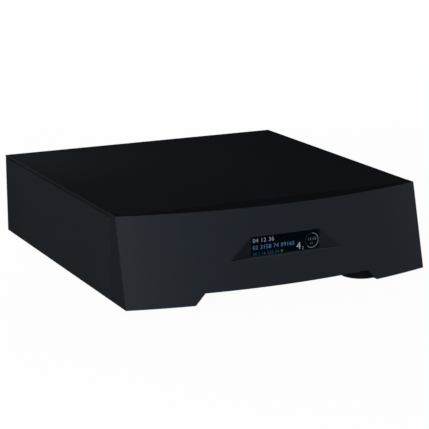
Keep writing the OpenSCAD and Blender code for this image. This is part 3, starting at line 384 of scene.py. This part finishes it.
def boardFinish():
    look = Finish("solderMask")
    place = look.place()
    cells = look.add("ShaderNodeTexVoronoi", {"feature": "DISTANCE_TO_EDGE"},
                     {"Vector": place, "Scale": boardLook["pitch"]})
    track = cells < boardLook["trackWidth"]
    spots = look.add("ShaderNodeTexVoronoi", None, {"Vector": place, "Scale": boardLook["padPitch"]})
    dots = spots < boardLook["padSize"]
    base = look.mix(dots, look.mix(track, boardLook["mask"], boardLook["track"]), boardLook["pad"])
    return look.surface({
        "Base Color": base, "Roughness": boardLook["rough"] - boardLook["padShine"] * dots,
        "Metallic": boardLook["padMetal"] * dots, "Normal": look.bump(track, boardLook["trackHeight"]),
    })


# toroid wrapped in tape: stripes that run round the ring
windingLook = {
    "tape": (0.030, 0.028, 0.034), "edge": (0.055, 0.050, 0.060), "turns": 52, "lean": 180,
    "wrapEnds": (0.35, 0.6), "wrapHeight": 0.12 * mm, "drift": 240, "stain": 0.4, "stainTone": 0.6,
    "rough": 0.34, "driftRough": 0.2,
}


def windingFinish():
    look = Finish("windingTape")
    centre = middle("transformer")
    x, y, z = look.axes()
    around = (y - centre.y).math("ARCTAN2", x - centre.x)
    wave = (around * windingLook["turns"] + windingLook["lean"] * z).math("SINE")
    wrap = look.ramp(wave * 0.5 + 0.5, *windingLook["wrapEnds"])
    drift = look.noise(windingLook["drift"], 3)
    base = look.mix(wrap, windingLook["tape"], windingLook["edge"])
    return look.surface({
        "Base Color": look.mix(drift * windingLook["stain"], base,
                               tone(windingLook["tape"], windingLook["stainTone"])),
        "Roughness": windingLook["rough"] + windingLook["driftRough"] * drift,
        "Normal": look.bump(wrap, windingLook["wrapHeight"]),
    })


# insulated leads, told apart by where they lie
leadLook = {
    "brown": (0.085, 0.035, 0.016), "blue": (0.022, 0.060, 0.19), "yellow": (0.52, 0.36, 0.05),
    "red": (0.36, 0.028, 0.022), "pairs": 250, "mainsReach": 30 * mm, "coilReach": 8 * mm,
    "grain": 700, "grainHeight": 0.01 * mm, "dust": (0.02, 0.02, 0.02), "dustShare": 0.3,
    "rough": 0.35, "grainRough": 0.2,
}


def leadFinish():
    look = Finish("leadSheath")
    x, y, z = look.axes()
    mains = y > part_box("transformer")[1].y - leadLook["mainsReach"]
    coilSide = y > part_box("supply_board")[1].y - leadLook["coilReach"]
    coilSide = coilSide * (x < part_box("shield_wall")[0].x)
    mainsColour = look.mix(z > middle("switch_frame").z, leadLook["blue"], leadLook["brown"])
    boardColour = look.mix((x * leadLook["pairs"]).math("SINE") > 0, leadLook["red"], leadLook["blue"])
    base = look.mix(mains, look.mix(coilSide, boardColour, leadLook["yellow"]), mainsColour)
    grain = look.noise(leadLook["grain"], 2)
    return look.surface({
        "Base Color": look.mix(grain * leadLook["dustShare"], base, leadLook["dust"]),
        "Roughness": leadLook["rough"] + leadLook["grainRough"] * grain,
        "Normal": look.bump(grain, leadLook["grainHeight"]),
    })


# plated sockets with plastic insides
socketLook = {
    "nickel": (0.56, 0.55, 0.53), "gold": (0.70, 0.47, 0.17),
    "inside": (0.010, 0.010, 0.011), "core": (0.62, 0.61, 0.57), "rough": 0.22, "plasticRough": 0.2,
    "phonoCore": (1.7 * mm, 3.1 * mm), "phonoFace": 0.2 * mm, "bncCore": 2.55 * mm, "bncUp": 8 * mm,
    "lanHalf": 8 * mm, "lanMouth": (5.95 * mm, 2.95 * mm, 11.05 * mm), "lanEdge": 0.3 * mm,
    "usbHalf": 7.25 * mm, "tongueHalf": 5.55 * mm, "tongueIn": 2.9 * mm,
}


def socketSurface(look, plastic, metal, colour):
    base, roughness, normal = metalParts(look, metal, socketLook["rough"])
    return look.surface({
        "Base Color": look.mix(plastic, base, colour), "Metallic": 1 - plastic,
        "Roughness": roughness + socketLook["plasticRough"] * plastic, "Normal": normal,
    })


def portFinish():
    look = Finish("portNickel")
    x, y, z = look.axes()
    low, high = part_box("network_ports")
    halfWidth, floor, roof = socketLook["lanMouth"]
    lan = (abs(x - (low.x + socketLook["lanHalf"])) < halfWidth) * (y < high.y - socketLook["lanEdge"])
    lan = lan * (z > low.z + floor) * (z < low.z + roof)
    usb = abs(x - (high.x - socketLook["usbHalf"])) < socketLook["tongueHalf"]
    usb = usb * (y < high.y - socketLook["tongueIn"])
    return socketSurface(look, lan | usb, socketLook["nickel"], socketLook["inside"])


def bncFinish():
    look = Finish("bncNickel")
    x, y, z = look.axes()
    dx, dz = x - middle("bnc_socket").x, z - (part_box("bnc_socket")[0].z + socketLook["bncUp"])
    core = (dx * dx + dz * dz).math("SQRT") < socketLook["bncCore"]
    core = core * (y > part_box("rear_panel")[1].y)
    return socketSurface(look, core, socketLook["nickel"], socketLook["core"])


def phonoFinish():
    look = Finish("phonoGold")
    x, y, z = look.axes()
    low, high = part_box("phono_rings")
    centre = middle("phono_rings")
    dx = x - centre.x
    dz = abs(z - centre.z) - ((high.z - low.z) - (high.x - low.x)) / 2
    around = (dx * dx + dz * dz).math("SQRT")
    inner, outer = socketLook["phonoCore"]
    core = (around > inner) * (around < outer)
    core = core * (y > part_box("phono_sockets")[1].y - socketLook["phonoFace"])
    return socketSurface(look, core, socketLook["gold"], socketLook["core"])


ringLook = {
    "lower": (0.42, 0.022, 0.018), "upper": (0.72, 0.71, 0.68), "grain": 900, "grainHeight": 0.006 * mm,
    "dust": (0.1, 0.1, 0.1), "dustShare": 0.15, "rough": 0.3, "grainRough": 0.1,
}


def ringFinish():
    look = Finish("channelRings")
    grain = look.noise(ringLook["grain"], 2)
    base = look.mix(look.axes()[2] > middle("phono_rings").z, ringLook["lower"], ringLook["upper"])
    return look.surface({
        "Base Color": look.mix(grain * ringLook["dustShare"], base, ringLook["dust"]),
        "Roughness": ringLook["rough"] + ringLook["grainRough"] * grain,
        "Normal": look.bump(grain, ringLook["grainHeight"]),
    })


# smoked window, and the screen that glows behind it
windowLook = {
    "tint": (0.0010, 0.0016, 0.0028), "cover": 0.22, "gloss": 0, "rough": 0.05,
    "smear": 45, "smearTone": 1.4, "smearRough": 0.06, "smearCover": 0.02,
}
screenLook = {
    "colour": (0.0011, 0.0022, 0.0044), "glow": 0.5, "rough": 0.12,
    "cells": 1600, "cellTone": 1.3, "cellRough": 0.05,
    "unlit": (0.004, 0.006, 0.008), "litRough": 0.5, "pixels": 2200, "pixelShare": 0.3, "pixelTone": 0.6,
}


def windowFinish():
    look = Finish("smokedWindow")
    tint = windowLook["tint"]
    smear = look.noise(windowLook["smear"], 3)
    return look.surface({
        "Base Color": look.mix(smear, tint, tone(tint, windowLook["smearTone"])),
        "Roughness": windowLook["rough"] + windowLook["smearRough"] * smear,
        "Specular IOR Level": windowLook["gloss"],
        "Alpha": windowLook["cover"] + windowLook["smearCover"] * smear,
    })


def screenFinish():
    look = Finish("screenGlass")
    colour = screenLook["colour"]
    cells = look.noise(screenLook["cells"], 1)
    return look.surface({
        "Base Color": look.mix(cells, colour, tone(colour, screenLook["cellTone"])),
        "Roughness": screenLook["rough"] + screenLook["cellRough"] * cells,
        "Specular IOR Level": windowLook["gloss"],
        "Emission Color": (*colour, 1), "Emission Strength": screenLook["glow"],
    })


def glowFinish(name, colour, strength):
    look = Finish(name)
    pixels = look.noise(screenLook["pixels"], 1)
    faint = tone(colour, screenLook["pixelTone"])
    return look.surface({
        "Base Color": (*screenLook["unlit"], 1), "Roughness": screenLook["litRough"],
        "Specular IOR Level": windowLook["gloss"],
        "Emission Color": look.mix(pixels * screenLook["pixelShare"], colour, faint),
        "Emission Strength": strength,
    })


# glass fuse with metal caps
fuseLook = {
    "glass": (0.70, 0.73, 0.74), "shine": (0.80, 0.82, 0.83), "cover": 0.35, "cap": 5 * mm,
    "drift": 300, "rough": 0.12, "driftRough": 0.1,
}


def fuseFinish():
    look = Finish("fuseGlass")
    drift = look.noise(fuseLook["drift"], 2)
    low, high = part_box("fuse")
    cap = abs(look.axes()[0] - middle("fuse").x) > (high.x - low.x) / 2 - fuseLook["cap"]
    return look.surface({
        "Base Color": look.mix(drift, fuseLook["glass"], fuseLook["shine"]), "Metallic": cap,
        "Roughness": fuseLook["rough"] + fuseLook["driftRough"] * drift,
        "Alpha": fuseLook["cover"] + (1 - fuseLook["cover"]) * cap,
    })


# finish for each material slot: colour, roughness and, on mouldings, gloss
finishes = {
    "foot": mouldFinish("footPlastic", (0.0030, 0.0034, 0.0039), 0.55, 0.02),
    "pad_rubber": mouldFinish("padRubber", (0.0060, 0.0062, 0.0066), 0.8, 0.02),
    "steel": metalFinish("zincSteel", (0.50, 0.50, 0.50), 0.3),
    "window": windowFinish(),
    "display": screenFinish(),
    "board": boardFinish(),
    "ribbon": mouldFinish("ribbonGrey", (0.42, 0.43, 0.45), 0.5),
    "winding": windingFinish(),
    "capacitor": mouldFinish("capacitorSleeve", (0.012, 0.024, 0.060), 0.35, 0.35),
    "chip": mouldFinish("chipPackage", (0.012, 0.012, 0.013), 0.5),
    "heatsink": metalFinish("blackFins", (0.030, 0.030, 0.032), 0.5),
    "shield": metalFinish("millSheet", (0.45, 0.46, 0.47), 0.35),
    "can": mouldFinish("drawnCan", (0.050, 0.052, 0.057), 0.4, 0.5),
    "brass": metalFinish("goldPlate", socketLook["gold"], 0.2),
    "wire": leadFinish(),
    "socket_plastic": mouldFinish("socketBlack", (0.011, 0.011, 0.012), 0.48),
    "fuse_glass": fuseFinish(),
    "xlr_shell": mouldFinish("blackLacquer", (0.013, 0.013, 0.014), 0.36, 0.25),
    "ring": ringFinish(),
    "nickel": portFinish(),
}
special = {node: caseFinish(node) for node in caseLook["pieces"]}
special.update(bnc_socket=bncFinish(), phono_sockets=phonoFinish())

for part in frame["record"]["subparts"]:
    mesh = nodes[part["node"]].data
    mesh.materials.clear()
    mesh.materials.append(special.get(part["node"]) or finishes[part["material_slot"]])


def addPiece(name, mesh, finish, body):
    piece = bpy.data.objects.new(name, mesh)
    bpy.context.scene.collection.objects.link(piece)
    mesh.materials.clear()
    mesh.materials.append(finish)
    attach(piece, body)


# how finely small shapes are made, and how much of a font's size a digit stands
shapeLook = {"digitShare": 0.69, "curve": 4, "weld": 0.001 * mm, "arc": 6, "leastSteps": 8, "bevelSteps": 2}


def finished(build):
    bmesh.ops.recalc_face_normals(build, faces=build.faces)
    mesh = bpy.data.meshes.new("shape")
    build.to_mesh(mesh)
    build.free()
    return mesh


def numberMesh(text, height, depth, spread=1, thin=0):
    # outlines of the digits, upright and facing the front
    curve = bpy.data.curves.new("digits", "FONT")
    curve.body = text
    curve.size = height / shapeLook["digitShare"]
    curve.space_character = spread
    curve.offset = -thin
    curve.extrude = depth / 2
    curve.resolution_u = shapeLook["curve"]
    holder = bpy.data.objects.new("digits", curve)
    bpy.context.scene.collection.objects.link(holder)
    bpy.context.view_layer.update()
    mesh = bpy.data.meshes.new_from_object(holder.evaluated_get(bpy.context.evaluated_depsgraph_get()))
    bpy.data.objects.remove(holder)
    mesh.transform(Matrix.Rotation(math.radians(90), 4, "X"))
    build = bmesh.new()
    build.from_mesh(mesh)
    bpy.data.meshes.remove(mesh)
    bmesh.ops.remove_doubles(build, verts=build.verts, dist=shapeLook["weld"])
    # some triangles of the fill have no area until its edges are turned
    fill = [face for face in build.faces if len(face.verts) == 3]
    inner = [edge for edge in build.edges if all(len(face.verts) == 3 for face in edge.link_faces)]
    bmesh.ops.beautify_fill(build, faces=fill, edges=inner, method="AREA")
    return finished(build)


def bandMesh(radius, width, start, end, depth):
    # flat band on an arc from the top, clockwise as seen from the front
    build = bmesh.new()
    steps = max(shapeLook["leastSteps"], round((end - start) / shapeLook["arc"]))
    closed = end - start >= 360
    rings = []
    for i in range(steps if closed else steps + 1):
        turn = math.radians(start + (end - start) * i / steps)
        rings.append([
            build.verts.new((r * math.sin(turn), y * depth / 2, r * math.cos(turn)))
            for r, y in ((radius, -1), (radius - width, -1), (radius - width, 1), (radius, 1))
        ])
    for a, b in list(zip(rings, rings[1:])) + ([(rings[-1], rings[0])] if closed else []):
        for k in range(4):
            build.faces.new((a[k], b[k], b[(k + 1) % 4], a[(k + 1) % 4]))
    if not closed:
        build.faces.new(rings[0])
        build.faces.new(rings[-1][::-1])
    return finished(build)


def barMesh(size, bevel):
    # small block with softened edges
    build = bmesh.new()
    bmesh.ops.create_cube(build, size=1, matrix=Matrix.Diagonal((*size, 1)))
    steps = shapeLook["bevelSteps"]
    bmesh.ops.bevel(build, geom=build.edges[:], offset=bevel, segments=steps, affect="EDGES")
    return finished(build)


def gathered(meshes):
    build = bmesh.new()
    for mesh in meshes:
        build.from_mesh(mesh)
        bpy.data.meshes.remove(mesh)
    return finished(build)


def put(mesh, spot, tilt=0, rearward=False):
    # to its spot, turned to the rear or tipped about the X axis where asked
    turn = Matrix.Rotation(math.pi if rearward else 0, 4, "Z")
    mesh.transform(Matrix.Translation(spot) @ Matrix.Rotation(math.radians(tilt), 4, "X") @ turn)
    return mesh


# lit picture on the screen: rows of plain numbers, a count and a progress ring. Places are millimetres
# from the window's upper left corner as the camera sees them, and sight allows for the screen's depth
picture = {
    "window": (80, 21), "sight": (1.9, 1.1), "depth": 0.12 * mm, "lift": 0.15 * mm, "spread": 1.12,
    "thin": 0.04 * mm,
    "rows": {
        "screen_row_upper": {
            "text": "04 12 36", "at": (2.0, 6.6), "height": 4.3,
            "colour": (0.58, 0.82, 1.0), "power": 0.55},
        "screen_row_middle": {
            "text": "02 3158 74 09165", "at": (2.0, 13.9), "height": 4.1,
            "colour": (0.18, 0.46, 0.86), "power": 0.6},
        "screen_row_lower": {
            "text": "44.1 16 320 24", "at": (2.0, 20.1), "height": 3.1,
            "colour": (0.06, 0.34, 0.52), "power": 0.36},
        "screen_count": {
            "text": "4", "at": (53.0, 19.2), "height": 7.4,
            "colour": (0.78, 0.90, 1.0), "power": 0.62},
        "screen_count_small": {
            "text": "2", "at": (59.5, 19.9), "height": 3.0,
            "colour": (0.50, 0.75, 1.0), "power": 0.6},
        "screen_ring_upper": {
            "text": "12:36", "at": (66.2, 11.4), "height": 2.9,
            "colour": (0.55, 0.75, 0.90), "power": 0.3},
        "screen_ring_lower": {
            "text": "04", "at": (69.2, 15.9), "height": 2.2,
            "colour": (0.50, 0.70, 0.85), "power": 0.24},
    },
    "bands": {
        "screen_ring": {
            "at": (71.1, 11.6), "radius": 7.9, "width": 0.48, "span": (5, 222),
            "colour": (0.62, 0.82, 0.92), "power": 0.48},
        "screen_ring_rest": {
            "at": (71.1, 11.6), "radius": 7.8, "width": 0.4, "span": (224, 363),
            "colour": (0.3, 0.5, 0.6), "power": 0.1},
        "screen_dot": {
            "at": (36.0, 18.4), "radius": 1.25, "width": 1.2, "span": (0, 360),
            "colour": (0.12, 0.56, 0.14), "power": 0.35},
    },
}


def pictureSpot(at):
    # a spot on the screen's face
    window = middle("display_window")
    left = window.x - picture["window"][0] / 2 * mm
    top = window.z + picture["window"][1] / 2 * mm
    u, v = at[0] + picture["sight"][0], at[1] + picture["sight"][1]
    return Vector((left + u * mm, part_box("display_glass")[0].y - picture["lift"], top - v * mm))


def addPicture():
    for name, row in picture["rows"].items():
        strokes = [picture[key] for key in ("depth", "spread", "thin")]
        mesh = numberMesh(row["text"], row["height"] * mm, *strokes)
        finish = glowFinish(name, row["colour"], row["power"])
        addPiece(name, put(mesh, pictureSpot(row["at"])), finish, "chassis")
    for name, band in picture["bands"].items():
        mesh = bandMesh(band["radius"] * mm, band["width"] * mm, *band["span"], picture["depth"])
        finish = glowFinish(name, band["colour"], band["power"])
        addPiece(name, put(mesh, pictureSpot(band["at"])), finish, "chassis")


addPicture()
print("screen picture made")


# printed numbers beside the rear sockets, and the two marks on the rocker
printLook = {
    "colour": (0.55, 0.56, 0.57), "rough": 0.6, "depth": 0.08 * mm, "height": 3 * mm, "gap": 3 * mm,
    "shellWidth": 26 * mm, "rockerRough": 0.5,
    "bar": (0.9 * mm, 0.12 * mm, 4.2 * mm), "barEdge": 0.04 * mm, "ring": (2.1 * mm, 0.8 * mm),
    "barSpot": (4.53 * mm, 5.62 * mm, 0), "ringSpot": (6.18 * mm, -3.73 * mm, 20), "lift": 0.03 * mm,
}


def numberSpots():
    low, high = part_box("network_ports")
    rings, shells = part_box("phono_rings"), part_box("xlr_sockets")
    above = high.z + printLook["gap"]
    below = shells[0].z - printLook["gap"] - printLook["height"]
    ringSide = rings[1].x + 2 * printLook["gap"]
    ringRadius = (rings[1].x - rings[0].x) / 2
    half = printLook["height"] / 2
    return [
        (low.x + socketLook["lanHalf"], above), (high.x - socketLook["usbHalf"], above),
        (middle("optical_socket").x, above), (middle("bnc_socket").x, above),
        (ringSide, rings[0].z + ringRadius - half), (ringSide, rings[1].z - ringRadius - half),
        (shells[0].x + printLook["shellWidth"] / 2, below),
        (shells[1].x - printLook["shellWidth"] / 2, below),
    ]


def addRearNumbers():
    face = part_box("rear_panel")[1].y + printLook["depth"] / 2
    meshes = []
    for i, (x, z) in enumerate(numberSpots()):
        mesh = numberMesh(str(i + 1), printLook["height"], printLook["depth"])
        across = [vertex.co.x for vertex in mesh.vertices]
        meshes.append(put(mesh, Vector((x + (min(across) + max(across)) / 2, face, z)), rearward=True))
    finish = mouldFinish("rearPrint", printLook["colour"], printLook["rough"])
    addPiece("rear_numbers", gathered(meshes), finish, "chassis")


def addRockerMarks():
    joint = next(j for j in frame["record"]["behaviour"]["joints"] if j["child"] == "rocker")
    finish = mouldFinish("rockerPrint", printLook["colour"], printLook["rockerRough"])
    bar = barMesh(printLook["bar"], printLook["barEdge"])
    ring = bandMesh(*printLook["ring"], 0, 360, printLook["bar"][1])
    for name, mesh, spot in (("rocker_bar", bar, "barSpot"), ("rocker_ring", ring, "ringSpot")):
        y, z, tilt = printLook[spot]
        put(mesh, Vector(joint["pos_m"]) + Vector((0, y + printLook["lift"], z)), tilt)
        addPiece(name, mesh, finish, "rocker")


addRearNumbers()
addRockerMarks()
print("rear print made")


# contacts and lamps inside the network and data ports
contactLook = {
    "blade": (0.45 * mm, 7 * mm, 0.3 * mm), "bladePitch": 1.02 * mm, "bladeCount": 8, "bladeEdge": 0.06 * mm,
    "bladeIn": 6 * mm, "bladeUp": 9.7 * mm, "bladeTilt": 20,
    "lamp": (2.4 * mm, 0.5 * mm, 1.5 * mm), "lampEdge": 0.15 * mm, "lampSide": 5 * mm, "lampUp": 1.5 * mm,
    "lamps": {"lan_lamp_left": (1, (0.02, 0.22, 0.03)), "lan_lamp_right": (-1, (0.30, 0.14, 0.01))},
    "lampRough": 0.25, "lampGloss": 0.4,
    "pad": (1.0 * mm, 6.5 * mm, 0.16 * mm), "padEdge": 0.05 * mm, "padIn": 6.6 * mm,
    "padPlaces": (-3.5 * mm, -1.15 * mm, 1.15 * mm, 3.5 * mm), "padUp": (4.42 * mm, 11.42 * mm),
}


def addPortContacts():
    low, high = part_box("network_ports")
    lanX, usbX = low.x + socketLook["lanHalf"], high.x - socketLook["usbHalf"]
    blades = []
    for i in range(contactLook["bladeCount"]):
        x = lanX + (i - (contactLook["bladeCount"] - 1) / 2) * contactLook["bladePitch"]
        spot = Vector((x, high.y - contactLook["bladeIn"], low.z + contactLook["bladeUp"]))
        blade = barMesh(contactLook["blade"], contactLook["bladeEdge"])
        blades.append(put(blade, spot, contactLook["bladeTilt"]))
    addPiece("lan_contacts", gathered(blades), finishes["brass"], "chassis")
    for name, (side, colour) in contactLook["lamps"].items():
        lamp = barMesh(contactLook["lamp"], contactLook["lampEdge"])
        put(lamp, Vector((lanX + side * contactLook["lampSide"], high.y, low.z + contactLook["lampUp"])))
        finish = mouldFinish(name, colour, contactLook["lampRough"], contactLook["lampGloss"])
        addPiece(name, lamp, finish, "chassis")
    pads = []
    for up in contactLook["padUp"]:
        for place in contactLook["padPlaces"]:
            pad = barMesh(contactLook["pad"], contactLook["padEdge"])
            pads.append(put(pad, Vector((usbX + place, high.y - contactLook["padIn"], low.z + up))))
    addPiece("usb_contacts", gathered(pads), finishes["brass"], "chassis")


addPortContacts()
print("port contacts made")
